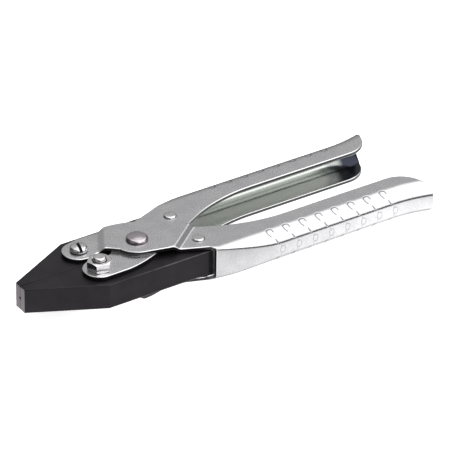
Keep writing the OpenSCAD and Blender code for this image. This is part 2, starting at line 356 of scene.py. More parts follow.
def skin(x, column, depth):
    """A point of the grip before the flare, at a depth under its outer surface."""
    radius = HALF_H - depth
    side = 1
    if column > MIDDLE:
        column = COLS - column
        side = -1
    if column <= N_FLAT:
        start = palm_y(x) + EDGE_R
        spread = 1 - math.cos(math.pi / 2 * column / N_FLAT)
        return (x, lerp(start, BEND_Y, spread), side * radius, 0.0)
    wall = wall_y(x) - depth
    along = min(1.0, max(0.0, (x - WEB_FRONT[0]) / (BULGE_END_X - WEB_FRONT[0])))
    fillet = lerp(FRONT_CREASE_R, CREASE_R, along) * lerp(1, INNER_CREASE_SHARE, depth / SHEET_T)
    centre_y = wall - fillet
    centre_z = math.sqrt((radius - fillet) ** 2 - (centre_y - BEND_Y) ** 2)
    crease = math.atan2(centre_z, centre_y - BEND_Y)
    column -= N_FLAT
    if column <= N_BEND:
        angle = lerp(math.pi / 2, crease, column / N_BEND)
        y, z = BEND_Y + radius * math.cos(angle), radius * math.sin(angle)
        around = radius * (math.pi / 2 - angle)
    elif column <= N_BEND + N_CREASE:
        angle = lerp(crease, 0, (column - N_BEND) / N_CREASE)
        y, z = centre_y + fillet * math.cos(angle), centre_z + fillet * math.sin(angle)
        around = radius * (math.pi / 2 - crease) + fillet * (crease - angle)
    else:
        angle = 0
        y, z = wall, centre_z * (1 - (column - N_BEND - N_CREASE) / N_WEB)
        around = radius * (math.pi / 2 - crease) + fillet * crease + centre_z - z
    # On the inner surface the mark is the pale paint of the painted reflection on the back wall
    mark = mark_at(x, around) if depth == 0 else max(0.0, 1 - angle / PALE_TO)
    y -= MARK_DEPTH * mark * math.cos(angle)
    z -= MARK_DEPTH * mark * math.sin(angle)
    return (x, y, side * z, mark)


def slant_x(corner, y):
    """The x on the straight front edge from a cheek's corner to the back wall's edge."""
    return corner[0] + (y - corner[1]) * (WEB_FRONT[0] - corner[0]) / (WEB_FRONT[1] - corner[1])


def front_x(column):
    """Where a column starts: along the cheek's front edge, and at the wall's front edge after it."""
    corner = RAISED_CORNER if column <= MIDDLE else FLAT_CORNER
    y = skin(WEB_FRONT[0], min(max(column, N_FLAT), COLS - N_FLAT), 0)[1]
    return min(slant_x(corner, y), WEB_FRONT[0])


def middle_distance(column):
    """About how far a column is from the middle of the back wall, round the channel."""
    steps = abs(column - MIDDLE)
    if steps <= N_WEB:
        return HALF_WALL * steps / N_WEB
    return min(BOW_SPAN, HALF_WALL + (BOW_SPAN - HALF_WALL) * (steps - N_WEB) / (N_CREASE + N_BEND))


def end_bow(column):
    """How far the end has bowed in at a column."""
    return END_BOW * min(1, middle_distance(column) / BOW_SPAN) ** 2


# The end's x and its point's y depend on each other, and settle well within this many rounds
END_ROUNDS = 12


def end_x(column, depth):
    """Where a column ends, before the flare, so that the flared end is the rounded end in plan."""
    x = LAST_X
    for _ in range(END_ROUNDS):
        y = skin(x, column, depth)[1]
        flat_y = flared(x, y, 0)[1]
        limit = HANDLE_REACH - EDGE_R
        if flat_y < END_CENTRE[1]:
            drop = min(END_R - EDGE_R, END_CENTRE[1] - flat_y)
            limit = END_CENTRE[0] + math.sqrt((END_R - EDGE_R) ** 2 - drop ** 2)
        limit -= end_bow(column)
        x = FLARE_X + FLARE_R * math.asin((limit - FLARE_X) / (FLARE_AXIS_Y - y))
    return x


RIM_MIDDLE = ROUND_MIDDLE * EDGE_R
# The rounded cut edge as pairs of the distance in from the edge and the depth under the surface
RIM = [(EDGE_R, 0), (RIM_MIDDLE, RIM_MIDDLE), (0, EDGE_R),
       (0, SHEET_T - EDGE_R), (RIM_MIDDLE, SHEET_T - RIM_MIDDLE), (EDGE_R, SHEET_T)]
# The rounding's middle is rubbed brighter, which also paints a highlight, and the cut wall is painted dark
# as shade
RIM_ZONES = [PLAIN, RUBBED_HIGHLIGHT, SHADE_ZONE, SHADE_ZONE, RUBBED_HIGHLIGHT, INSIDE]


def through(outer, inner, depth):
    """A point at a depth between a point of the outer and one of the inner surface."""
    return tuple(lerp(a, b, depth / SHEET_T) for a, b in zip(outer[:3], inner[:3]))


def row_places(column, depth):
    """The x of every row of a column, from the front edge's fillet to the end's."""
    start = front_x(column) + EDGE_R
    end = end_x(column, depth)
    places = [lerp(start, JOIN_X, i / N_FRONT_ROWS) for i in range(N_FRONT_ROWS)]
    places += [lerp(JOIN_X, FINE_FROM_X, i / N_COARSE_ROWS) for i in range(N_COARSE_ROWS)]
    places += [lerp(FINE_FROM_X, LAST_X, i / N_FINE_ROWS) for i in range(N_FINE_ROWS)]
    return places + [lerp(LAST_X, end, i / N_END_ROWS) for i in range(N_END_ROWS + 1)]


def end_rim_point(point, inset, column):
    """The inset end row's point moved out to a smaller inset: round the cheeks' end, or backward."""
    x, y, z = point
    if min(column, COLS - column) > N_FLAT:
        out = Vector((1, END_SLOPE))
    elif y < END_CENTRE[1]:
        out = Vector((x + end_bow(column) - END_CENTRE[0], y - END_CENTRE[1])).normalized()
    else:
        out = Vector((1, 0))
    out *= EDGE_R - inset
    return (x + out.x, y + out.y, z)


def add_rim(shape, places, point_at):
    """A rounded cut edge along places. The function gives a place's point at an inset and a depth."""
    rows = [[point_at(place, inset, depth) for place in places] for inset, depth in RIM]
    shape.grid(rows, zones=RIM_ZONES)


def grip_rows(depth):
    """Rows of points at a depth. Before JOIN_X they have no flat columns: the cheeks are there."""
    places = [row_places(column, depth) for column in range(COLS + 1)]
    rows = []
    for row in range(len(places[0])):
        first = N_FLAT if row < N_FRONT_ROWS else 0
        rows.append([flared(*skin(places[c][row], c, depth)) for c in range(first, COLS + 1 - first)])
    return rows


def add_grip(shape):
    """The channel-shaped grip, with a rounded cut edge at its front, its palm side and its end."""
    outer, inner = grip_rows(0), grip_rows(SHEET_T)
    for rows, zone in ((outer, PLAIN), (inner, INSIDE)):
        front, back = rows[:N_FRONT_ROWS], rows[N_FRONT_ROWS:]
        for part in (front + [back[0][N_FLAT:COLS + 1 - N_FLAT]], back):
            shape.grid(part, zones=[zone] * len(part))

    def front_point(column, inset, depth):
        ends = [skin(front_x(column) + inset, column, d) for d in (0, SHEET_T)]
        return through(*ends, depth)

    def palm_point(pair, inset, depth):
        x, y, z = through(*pair, depth)
        return (x, y - EDGE_R + inset, z)

    def end_point(column, inset, depth):
        point = through(outer[-1][column], inner[-1][column], depth)
        return end_rim_point(point, inset, column)

    add_rim(shape, range(N_FLAT, COLS + 1 - N_FLAT), front_point)
    for side in (0, -1):
        pairs = [(a[side], b[side]) for a, b in zip(outer[N_FRONT_ROWS:], inner[N_FRONT_ROWS:])]
        add_rim(shape, pairs, palm_point)
    add_rim(shape, range(COLS + 1), end_point)


def ramp(t):
    """A slope from 0 to 1 with rounded ends."""
    q = FOLD_ROUND
    if t <= -q or t >= 1 + q:
        return 0.0 if t < 0 else 1.0
    if t < q:
        return (t + q) ** 2 / (4 * q)
    if t > 1 - q:
        return 1 - (1 + q - t) ** 2 / (4 * q)
    return t


def fold_progress(fold, x, y):
    """0 beyond a fold and 1 on the pivot's side of it."""
    angle, distance, half = math.radians(fold[0]), fold[1], fold[2]
    return (distance + half - x * math.cos(angle) - y * math.sin(angle)) / (2 * half)


def raised_z(x, y):
    """Height of the raised cheek's outer surface."""
    return HALF_H + RAISE * ramp(fold_progress(FRONT_FOLD, x, y)) * ramp(fold_progress(REAR_FOLD, x, y))


def flat_z(x, y):
    """Height of the flat cheek's outer surface, the same everywhere."""
    return HALF_H


def cheek_edge(raised):
    """The crossing cheek's edge, from the palm edge at JOIN_X round the jaw screw to the bend."""
    if raised:
        back = curve((8, -13.2), (-1, -17.2), (-9, -16.9)) + [(-21, -17.1)]
        lobe_from = -104
        front = [(13.4, 14.6)]
        corner = RAISED_CORNER
    else:
        back = curve((3.2, -11.4), (-6, -15.4), (-14, -16.1))
        lobe_from = -90
        front = [(2, 13.4), (8, 16.2), (13.4, 17.7)]
        corner = FLAT_CORNER
    palm_xs = [lerp(JOIN_X, CROTCH_X, i / 8) for i in range(9)]
    palm = [(x, palm_y(x)) for x in palm_xs]
    lobe = arc((-PIN_X, -PIN_Y), LOBE_R, lobe_from, -285, 36)
    neck = curve((-22.4, -1.4), (-17.9, -3.6), (-13.6, 0))
    round_pivot = arc((0, 0), PIVOT_SIDE_R, 164, 102, 16)
    bend = (slant_x(corner, BEND_Y), BEND_Y)
    return densify(palm + back + lobe + neck + round_pivot + front + [corner, bend], PLAN_STEP)


def inward(points, first, last):
    """Inward directions along a clockwise polyline, mitred at corners, with both ends given."""
    out = [Vector(first)]
    for before, here, after in zip(points, points[1:], points[2:]):
        a = (Vector(here) - Vector(before)).normalized()
        b = (Vector(after) - Vector(here)).normalized()
        normal = Vector((a.y + b.y, -a.x - b.x)).normalized()
        out.append(normal / max(0.5, normal.dot(Vector((a.y, -a.x)))))
    return out + [Vector(last)]


def inside(point, ring):
    """Whether a plan point is inside a closed polygon."""
    x, y = point
    within = False
    for (x0, y0), (x1, y1) in zip(ring, ring[1:] + ring[:1]):
        if (y0 > y) != (y1 > y) and x < (x1 - x0) * (y - y0) / (y1 - y0) + x0:
            within = not within
    return within


def clear_of(point, ring, gap):
    """Whether a plan point keeps a gap from all the points of a ring."""
    return all(math.dist(point, p) > gap for p in ring)


# The triangulation keeps what is inside the edges, and joins points closer than this
CDT_INSIDE = 1
CDT_WELD = 1e-5


def plan_faces(ring, holes, lines):
    """Points and triangles that fill a ring around its holes, with edges along the lines."""
    points, edges = [], []
    loops = [(loop, True) for loop in [ring] + holes] + [(line, False) for line in lines]
    for loop, closed in loops:
        start = len(points)
        points += [Vector(p) for p in loop]
        count = len(loop)
        edges += [(start + i, start + (i + 1) % count) for i in range(count if closed else count - 1)]
    made, _, faces, *_ = geometry.delaunay_2d_cdt(points, edges, [], CDT_INSIDE, CDT_WELD)
    kept = []
    for face in faces:
        middle = sum((made[i] for i in face), Vector((0, 0))) / len(face)
        if not any(inside(middle, hole) for hole in holes):
            kept.append(face)
    return made, kept


def fold_lines(ring):
    """Lines along both folds, kept a little inside the ring."""
    lines = []
    for fold in (FRONT_FOLD, REAR_FOLD):
        angle = math.radians(fold[0])
        across = Vector((math.cos(angle), math.sin(angle)))
        along = Vector((-across.y, across.x))
        for t in (-FOLD_ROUND, 0, FOLD_ROUND, 1 - FOLD_ROUND, 1, 1 + FOLD_ROUND):
            line = []
            for step in range(-FOLD_STEPS, FOLD_STEPS + 1):
                point = across * (fold[1] + fold[2] - t * 2 * fold[2]) + along * step * PLAN_STEP
                if inside(tuple(point), ring) and clear_of(point, ring, FOLD_GAP):
                    line.append(tuple(point))
                elif len(line) > 1:
                    lines.append(line)
                    line = []
            if len(line) > 1:
                lines.append(line)
    return lines


def add_cheek(shape, raised):
    """A crossing cheek with its holes and its rounded cut edge. The lower one is upside down."""
    side = 1 if raised else -1
    height = raised_z if raised else flat_z
    edge = cheek_edge(raised)
    normals = inward(edge, (0, 1), (1, 0))
    ring = [(p[0] + n.x * EDGE_R, p[1] + n.y * EDGE_R) for p, n in zip(edge, normals)]
    # Back along the first bend column and down the first row of the grip, which share these points
    column = N_FLAT if raised else COLS - N_FLAT
    bend = [(x, BEND_Y) for x in row_places(column, 0)[1:N_FRONT_ROWS + 1]]
    row = [skin(JOIN_X, c, 0)[:2] for c in range(N_FLAT - 1, 0, -1)]
    closed_ring = ring + bend + row
    places = (((0, 0), RIVET_HOLE_R), ((-PIN_X, -PIN_Y), SCREW_HOLE_R),
              ((PIN_X, SLOT_PIN_Y), SLOT_RIVET_HOLE_R))
    holes = [circle(centre, radius, HOLE_STEPS) for centre, radius in places]
    lines = fold_lines(closed_ring) if raised else []
    points, faces = plan_faces(closed_ring, holes, lines)
    for depth in (0, SHEET_T):
        zone = INSIDE if depth else PLAIN
        numbers = [shape.add((p[0], p[1], side * (height(p[0], p[1]) - depth)), zone) for p in points]
        shape.faces += [tuple(numbers[i] for i in face) for face in faces]

    def edge_point(pair, inset, depth):
        point, normal = pair
        x, y = point[0] + normal.x * inset, point[1] + normal.y * inset
        return (x, y, side * (height(x, y) - depth))

    add_rim(shape, list(zip(edge, normals)), edge_point)
    for hole in holes:
        rings = [[(x, y, side * (height(x, y) - depth)) for x, y in hole] for depth in (0, SHEET_T)]
        shape.grid(rings, closed=True)


def handle_shape():
    """A handle: the channel grip and its two crossing cheeks."""
    shape = Shape()
    add_grip(shape)
    add_cheek(shape, True)
    add_cheek(shape, False)
    return shape


def place(mesh, name, body, nodes, slot, material):
    """A piece with its material that stands for CAD nodes and rides on their body."""
    piece = bpy.data.objects.new(name, mesh)
    bpy.context.scene.collection.objects.link(piece)
    mesh.materials.append(material)
    normals = piece.modifiers.new("weighted_normals", "WEIGHTED_NORMAL")
    normals.keep_sharp = True
    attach(piece, body)
    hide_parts(*nodes)
    return piece


# ---- Jaws ----
JAW_T = JAW_HIGH.z - JAW_LOW.z
FACE_Y = JAW_LOW.y
TIP_HALF_W = 3.6
SHOULDER_X = -27.0
TAIL_R = 7.0
THROAT_HALF_W = 4.8
THROAT_FRONT_X = -12.0
THROAT_BACK_X = -8.0
GROOVE_DEPTH = 0.8
JAW_EDGE = 0.3
# The gripping faces' edges are eased by this much, and this far down, which leaves a dark line
FACE_EASE = 0.16
FACE_EASE_DROP = 0.7
SLOT_R = 2.9
OPEN_ANGLE = math.radians(frame["joints"][0]["range_deg"][1])


def slot_travel():
    """How far the slot rivet slides from closed to open."""
    turn = OPEN_ANGLE / 2
    return 2 * PIN_X * (1 - math.cos(turn)) + (PIN_Y + SLOT_PIN_Y) * math.sin(turn)


def rounded(corners):
    """A closed polygon from (x, y, radius) corners, each rounded with an arc."""
    out = []
    for i, (x, y, radius) in enumerate(corners):
        here = Vector((x, y))
        a = (Vector(corners[i - 1][:2]) - here).normalized()
        b = (Vector(corners[(i + 1) % len(corners)][:2]) - here).normalized()
        if radius == 0:
            out.append((x, y))
            continue
        half = a.angle(b) / 2
        centre = here + (a + b).normalized() * radius / math.sin(half)
        start = here + a * radius / math.tan(half) - centre
        end = here + b * radius / math.tan(half) - centre
        steps = 12 if radius > 2 else 4
        for k in range(steps + 1):
            ray = (start * (1 - k / steps) + end * (k / steps)).normalized() * radius
            out.append(tuple(centre + ray))
    return out


def closed_inward(points):
    """Directions into the material from a clockwise outline or an anticlockwise hole."""
    return inward([points[-1]] + points + [points[0]], (0, 0), (0, 0))[1:-1]


def jaw_rub_highlight(x, y):
    """How much a jaw's edge is rubbed lighter, which also paints a highlight: most along the outer flank's
    rear part.
    """
    if y < THROAT_HALF_W:
        return 0.0
    return 1.0 if x > SHOULDER_X + 1 else 0.12


def add_plate(shape, outline, holes, half_t, groove_points):
    """A flat plate with rounded edges, finer along the gripping face, which has a groove."""
    rings = []
    for loop in [outline] + holes:
        normals = closed_inward(loop)
        on_face = [abs(p[1] - FACE_Y) < 0.01 for p in loop]
        sizes = [FACE_EASE if flag else JAW_EDGE for flag in on_face]
        drops = [FACE_EASE_DROP if flag else JAW_EDGE for flag in on_face]
        rings.append([(p[0] + n.x * e, p[1] + n.y * e) for p, n, e in zip(loop, normals, sizes)])
        # The rubbed edge's share, which also carries a painted highlight
        edge_rub_highlight = [jaw_rub_highlight(*p) for p in loop]
        rows = []
        for inset, drop, share in ((1, 0, 0), (ROUND_MIDDLE, ROUND_MIDDLE, 1), (0, 1, 1), (0, 2.2, 0)):
            rows.append([(p[0] + n.x * inset * e, p[1] + n.y * inset * e, half_t - drop * d, share * w)
                         for p, n, e, d, w in zip(loop, normals, sizes, drops, edge_rub_highlight)])
        under = [[(x, y, -z, w) for x, y, z, w in row] for row in reversed(rows)]
        between = []
        if loop is outline:
            between = [[(*p, GROOVE_DEPTH) for p in loop],
                       [(*groove_points.get(i, p), 0) for i, p in enumerate(loop)],
                       [(*p, -GROOVE_DEPTH) for p in loop]]
        shape.grid(rows + between + under, closed=True)
    points, faces = plan_faces(rings[0], rings[1:], [])
    for z in (half_t, -half_t):
        numbers = [shape.add((p[0], p[1], z)) for p in points]
        shape.faces += [tuple(numbers[i] for i in face) for face in faces]


def jaw_shape():
    """A jaw with its wire throat, its groove, its screw hole and the slot rivet's slot."""
    slope = (THROAT_BACK_X - THROAT_FRONT_X) / (THROAT_HALF_W - FACE_Y)
    corners = [
        (JAW_LOW.x, FACE_Y, 0), (JAW_LOW.x, TIP_HALF_W, 0.45), (SHOULDER_X, JAW_HIGH.y, 0.8),
        (JAW_HIGH.x, JAW_HIGH.y, TAIL_R), (JAW_HIGH.x, THROAT_HALF_W, 0.8),
        (THROAT_BACK_X, THROAT_HALF_W, 1.0), (THROAT_FRONT_X, FACE_Y, 0)
    ]
    outline = rounded(corners)
    groove_points = {
        0: (JAW_LOW.x, FACE_Y + GROOVE_DEPTH),
        len(outline) - 1: (THROAT_FRONT_X + GROOVE_DEPTH * slope, FACE_Y + GROOVE_DEPTH),
    }
    travel = slot_travel()
    slot = (arc((PIN_X, SLOT_PIN_Y), SLOT_R, -90, 90, 16)
            + arc((PIN_X - travel, SLOT_PIN_Y), SLOT_R, 90, 270, 16))
    screw_hole = circle((-PIN_X, PIN_Y), SCREW_HOLE_R, HOLE_STEPS)
    shape = Shape()
    add_plate(shape, outline, [slot, screw_hole], JAW_T / 2, groove_points)
    return shape


# ---- Rivets, screws and nuts ----
ROUND_STEPS = 72
SHANK_GAP = 0.05
PIVOT_SHANK_R = 3.5
SLOT_RIVET_R = 2.0
# A turned profile starts and ends this close to the axis, and a fan of faces closes it
AXIS_R = 0.01


def add_lathe(shape, centre, profile, dark=()):
    """A closed turned solid from (radius, height) points on and off the axis, some of them painted dark as
    shade.
    """
    rows, zones = [], []
    for point in profile:
        ring = circle(centre, point[0], ROUND_STEPS)
        rows.append([(x, y, point[1]) for x, y in ring])
        # The dark points get painted shade
        zones.append(SHADE_ZONE if point in dark else PLAIN)
    shape.grid(rows, closed=True, zones=zones)
    for row, (_, z) in ((rows[0], profile[0]), (rows[-1], profile[-1])):
        tip = shape.add((centre[0], centre[1], z))
        ring = [shape.add(p) for p in row]
        for a, b in zip(ring, ring[1:] + ring[:1]):
            shape.faces.append((tip, a, b))


def quarter(radius, top, corner, crown, steps=6):
    """A head's profile from its axis out: a slightly crowned top, a rounded corner, a straight side."""
    flat = radius - corner
    points = [(flat * i / steps, top - crown * (i / steps) ** 2) for i in range(1, steps + 1)]
    return points + arc((flat, top - crown - corner), corner, 90, 0, steps)[1:]


def pivot_rivet_shape():
    """A headed rivet through the two upper cheeks, peened over just inside them."""
    seat = HALF_H + RAISE
    inner = HALF_H - SHEET_T - SHANK_GAP
    head = [(AXIS_R, RIVET_TOP)] + quarter(RIVET_R, RIVET_TOP, corner=1.5, crown=0.42)
    foot = [(RIVET_R, seat + 0.3), (RIVET_R - 0.15, seat)]
    shank = [(PIVOT_SHANK_R, seat), (PIVOT_SHANK_R, inner)]
    peened = [(3.9, inner), (4.2, inner - 0.3), (4.1, inner - 0.75), (3.6, inner - 1), (AXIS_R, inner - 1)]
    shape = Shape()
    # The foot under the head is painted dark as shade
    add_lathe(shape, (0, 0), head + foot + shank + peened, foot)
    return shape


def slot_rivet_shape():
    """A shouldered rivet that ties a handle's cheeks together and slides in a jaw's slot."""
    inner = HALF_H - SHEET_T - SHANK_GAP
    top = SLOT_RIVET_TOP
    foot = [(SLOT_RIVET_HEAD_R, HALF_H + 0.15), (SLOT_RIVET_HEAD_R - 0.05, HALF_H)]
    upper = [(AXIS_R, top)] + quarter(SLOT_RIVET_HEAD_R, top, corner=0.82, crown=0.14) + foot
    upper += [(SLOT_RIVET_R, HALF_H), (SLOT_RIVET_R, inner), (2.5, inner), (2.7, inner - 0.2)]
    lower = [(r, -z) for r, z in reversed(upper)]
    shape = Shape()
    # The feet under the heads are painted dark as shade
    add_lathe(shape, (PIN_X, SLOT_PIN_Y), upper + lower, foot)
    return shape


SCREW_R = 3.0
SCREW_HEAD_R = 4.0
SCREW_SLOT_W = 1.3
SCREW_SLOT_DEPTH = 1.5
SCREW_SLOT_ANGLE = math.radians(76)
NUT_HALF_W = 5.0
NUT_TURN = 14.0
NUT_HOLE_R = 3.05
NUT_MOUTH = 0.45
NUT_FACE_R = NUT_HALF_W * 0.96
NUT_CHAMFER = math.tan(math.radians(30))


def screw_shape():
    """The far jaw's screw: a slotted head on top and a rounded end below."""
    top, end = SCREW_HIGH.z, SCREW_LOW.z
    head = [(AXIS_R, top)] + quarter(SCREW_HEAD_R, top, corner=1.5, crown=0.35)
    foot = [(SCREW_HEAD_R, HALF_H + 0.3), (SCREW_HEAD_R - 0.15, HALF_H)]
    neck = [(SCREW_R, HALF_H)]
    thread = [(SCREW_R, NUT_LOW.z + 0.1)]
    tip = [(r, -z) for r, z in reversed(quarter(SCREW_R, -end, corner=1.0, crown=0.03))]
    shape = Shape()
    profile = head + foot + neck + thread + tip + [(AXIS_R, end)]
    # The foot under the head and the thread are painted dark as shade
    add_lathe(shape, (-PIN_X, PIN_Y), profile, foot + thread)
    return shape


def cut_slot(mesh, turn):
    """The screw's mesh with the driver slot cut across its head, wherever the screw was turned to."""
    piece = bpy.data.objects.new("cut", mesh)
    cutter_mesh = bpy.data.meshes.new("cutter")
    bm = bmesh.new()
    bmesh.ops.create_cube(bm, size=1)
    size = Vector((4 * SCREW_HEAD_R, SCREW_SLOT_W, 2 * SCREW_SLOT_DEPTH))
    spin = Matrix.Rotation(SCREW_SLOT_ANGLE, 3, "Z")
    head = Vector((-PIN_X, PIN_Y, SCREW_HIGH.z))
    for vert in bm.verts:
        vert.co = (turn @ (spin @ (vert.co * size) + head) + PIVOT) * MM
    bm.to_mesh(cutter_mesh)
    bm.free()
    cutter = bpy.data.objects.new("cutter", cutter_mesh)
    for made in (piece, cutter):
        bpy.context.scene.collection.objects.link(made)
    boolean = piece.modifiers.new("slot", "BOOLEAN")
    boolean.object = cutter
    boolean.solver = "EXACT"
    depsgraph = bpy.context.evaluated_depsgraph_get()
    result = bpy.data.meshes.new_from_object(piece.evaluated_get(depsgraph))
    for made in (piece, cutter):
        bpy.data.objects.remove(made)
    return result


def nut_shape():
    """The far jaw's nut, chamfered at both ends, with a countersunk hole."""
    low, high = NUT_LOW.z, NUT_HIGH.z
    mouth_r = NUT_HOLE_R + NUT_MOUTH
    sides = []
    for step in range(ROUND_STEPS):
        angle = 360 * step / ROUND_STEPS
        off = math.radians((angle + 30) % 60 - 30)
        sides.append((math.radians(angle + NUT_TURN + 30), NUT_HALF_W / math.cos(off)))
    rows = []
    for radius, z in [(NUT_HOLE_R, low + NUT_MOUTH), (mouth_r, low), (NUT_FACE_R, low), (None, low),
                      (None, high), (NUT_FACE_R, high), (mouth_r, high), (NUT_HOLE_R, high - NUT_MOUTH)]:
        row = []
        for angle, hex_r in sides:
            # A row with no radius of its own follows the hexagon, which the chamfer lowers at its corners
            reach = radius or hex_r
            drop = 0 if radius else (hex_r - NUT_FACE_R) * NUT_CHAMFER
            row.append((-PIN_X + reach * math.cos(angle), PIN_Y + reach * math.sin(angle),
                        z + drop if z == low else z - drop))
        rows.append(row)
    shape = Shape()
    shape.grid(rows + rows[:1], closed=True)
    return shape


# ---- Materials ----
STEEL = (0.61, 0.60, 0.615)
STEEL_LIGHT = (0.67, 0.665, 0.675)
STEEL_MOTTLE = (0.40, 0.395, 0.41)
# Painted shade: the handle's inside is darker and greener, standing for the shaded table that it reflects
STEEL_INSIDE_SHADE = (0.49, 0.51, 0.485)
# Rubbing and painted highlight: the rounding of a cut edge is brighter
STEEL_RUBBED_HIGHLIGHT = (0.80, 0.80, 0.80)
# Painted shade: the cut walls are nearly black
CUT_WALL_SHADE = (0.06, 0.058, 0.062)
# The grip marks' grooves are darker
GROOVE_DARK = (0.12, 0.12, 0.13)
# Painted reflection: the inside of the back wall is pale
PALE_REFLECTION_PAINT = (0.95, 0.955, 0.945)
# Painted shade: the inside of the handle's end is dark
END_SHADE_PAINT = (0.03, 0.033, 0.045)
OXIDE = (0.021, 0.019, 0.0215)
OXIDE_LIGHT = (0.031, 0.028, 0.0315)
# Rubbing and painted highlight: the jaws' edges are lighter, most on the outer flank's rear part
OXIDE_RUBBED_HIGHLIGHT = (0.16, 0.155, 0.16)
GROUND_STEEL = (0.175, 0.155, 0.165)
HEAD_SHADE = (0.05, 0.048, 0.052)
# The painted shade inside a handle's end starts this far before the end and is full this far after it, in
# metres
END_SHADE_FROM, END_SHADE_TO = -0.012, 0.002
# How deep the bare steel of a jaw's end face reaches, and where the oxide is whole, in metres
BARE_DEPTH, OXIDE_DEPTH = 0.00004, 0.00012


def new_material(name):
    """A material, its node tree and its Principled shader."""
    material = bpy.data.materials.new(name)
    material.use_nodes = True
    tree = material.node_tree
    return material, tree, tree.nodes["Principled BSDF"]


def node(tree, kind, **settings):
    """A new node with its settings."""
    made = tree.nodes.new(kind)
    for key, value in settings.items():
        setattr(made, key, value)
    return made


def noise(tree, vector, scale, detail, roughness=0.5):
    """Noise over the object's own coordinates, in features per metre."""
    made = node(tree, "ShaderNodeTexNoise")
    made.inputs["Scale"].default_value = scale
    made.inputs["Detail"].default_value = detail
    made.inputs["Roughness"].default_value = roughness
    tree.links.new(vector, made.inputs["Vector"])
    return made.outputs["Fac"]


def remap(tree, value, low, high, to_low=0, to_high=1):
    """A value moved from one range to another, and kept within it."""
    made = node(tree, "ShaderNodeMapRange")
    for socket, number in zip(("From Min", "From Max", "To Min", "To Max"), (low, high, to_low, to_high)):
        made.inputs[socket].default_value = number
    tree.links.new(value, made.inputs["Value"])
    return made.outputs["Result"]


def mix_colour(tree, factor, a, b):
    """A colour between two, each an RGB triple or a socket."""
    made = node(tree, "ShaderNodeMix", data_type="RGBA")
    tree.links.new(factor, made.inputs["Factor"])
    for socket, value in ((made.inputs[6], a), (made.inputs[7], b)):
        if isinstance(value, tuple):
            socket.default_value = (*value, 1)
        else:
            tree.links.new(value, socket)
    return made.outputs[2]


def multiply(tree, a, b):
    """a times b, which is a number or a socket."""
    made = node(tree, "ShaderNodeMath", operation="MULTIPLY")
    tree.links.new(a, made.inputs[0])
    if isinstance(b, (int, float)):
        made.inputs[1].default_value = b
    else:
        tree.links.new(b, made.inputs[1])
    return made.outputs[0]


def add(tree, a, b, weight):
    """a plus b times a weight."""
    made = node(tree, "ShaderNodeMath", operation="MULTIPLY_ADD")
    tree.links.new(b, made.inputs[0])
    made.inputs[1].default_value = weight
    tree.links.new(a, made.inputs[2])
    return made.outputs[0]


def bump(tree, shader, height, distance, strength):
    """Makes a height field, scaled to metres, tilt the shader's normals."""
    made = node(tree, "ShaderNodeBump")
    made.inputs["Distance"].default_value = distance
    made.inputs["Strength"].default_value = strength
    tree.links.new(height, made.inputs["Height"])
    tree.links.new(made.outputs["Normal"], shader.inputs["Normal"])


def object_place(tree):
    """The place on the object, in metres in the shared frame."""
    return node(tree, "ShaderNodeTexCoord").outputs["Object"]


def axes(tree, vector):
    """A vector's outputs, by the name of the axis."""
    made = node(tree, "ShaderNodeSeparateXYZ")
    tree.links.new(vector, made.inputs[0])
    return made.outputs


def zones(tree):
    """How much a place is of a rubbed edge with its painted highlight, of a cut wall or seat painted dark
    as shade, of a handle's inside, and of a grip mark, which inside is the pale painted reflection.
    """
    read = node(tree, "ShaderNodeAttribute", attribute_name="zones")
    split = node(tree, "ShaderNodeSeparateColor")
    tree.links.new(read.outputs["Color"], split.inputs[0])
    return (*split.outputs[:3], read.outputs["Alpha"])


def steel_colour(tree, clouds, mottle):
    """The sheet's colour: mottled outside; inside, darker and greener as painted shade, pale on the back
    wall as a painted reflection and dark at the end as painted shade; on the rim, brighter where rubbed,
    which also paints a highlight, and a cut wall painted dark as shade.
    """
    rub_highlight, wall_shade_mask, inner, mark = zones(tree)
    colour = mix_colour(tree, remap(tree, clouds, 0.35, 0.65), STEEL, STEEL_LIGHT)
    colour = mix_colour(tree, remap(tree, mottle, 0.3, 0.7, 0.35, 0), colour, STEEL_MOTTLE)
    # Painted shade over the whole inside
    colour = mix_colour(tree, inner, colour, STEEL_INSIDE_SHADE)
    # Outside, the grooves are darker; inside, the back wall is painted pale as a painted reflection
    colour = mix_colour(tree, mark, colour, mix_colour(tree, inner, GROOVE_DARK, PALE_REFLECTION_PAINT))
    end = (PIVOT.x + HANDLE_REACH) * MM
    ragged = add(tree, axes(tree, object_place(tree))["X"], clouds, 0.02)
    # Painted shade at the inside of the handle's end, with a ragged edge
    end_shade = multiply(tree, inner, remap(tree, ragged, end + END_SHADE_FROM, end + END_SHADE_TO))
    colour = mix_colour(tree, end_shade, colour, END_SHADE_PAINT)
    # Painted highlight on the rubbed rounding of the cut edge
    colour = mix_colour(tree, rub_highlight, colour, STEEL_RUBBED_HIGHLIGHT)
    # Painted shade on the cut wall
    return mix_colour(tree, wall_shade_mask, colour, CUT_WALL_SHADE)


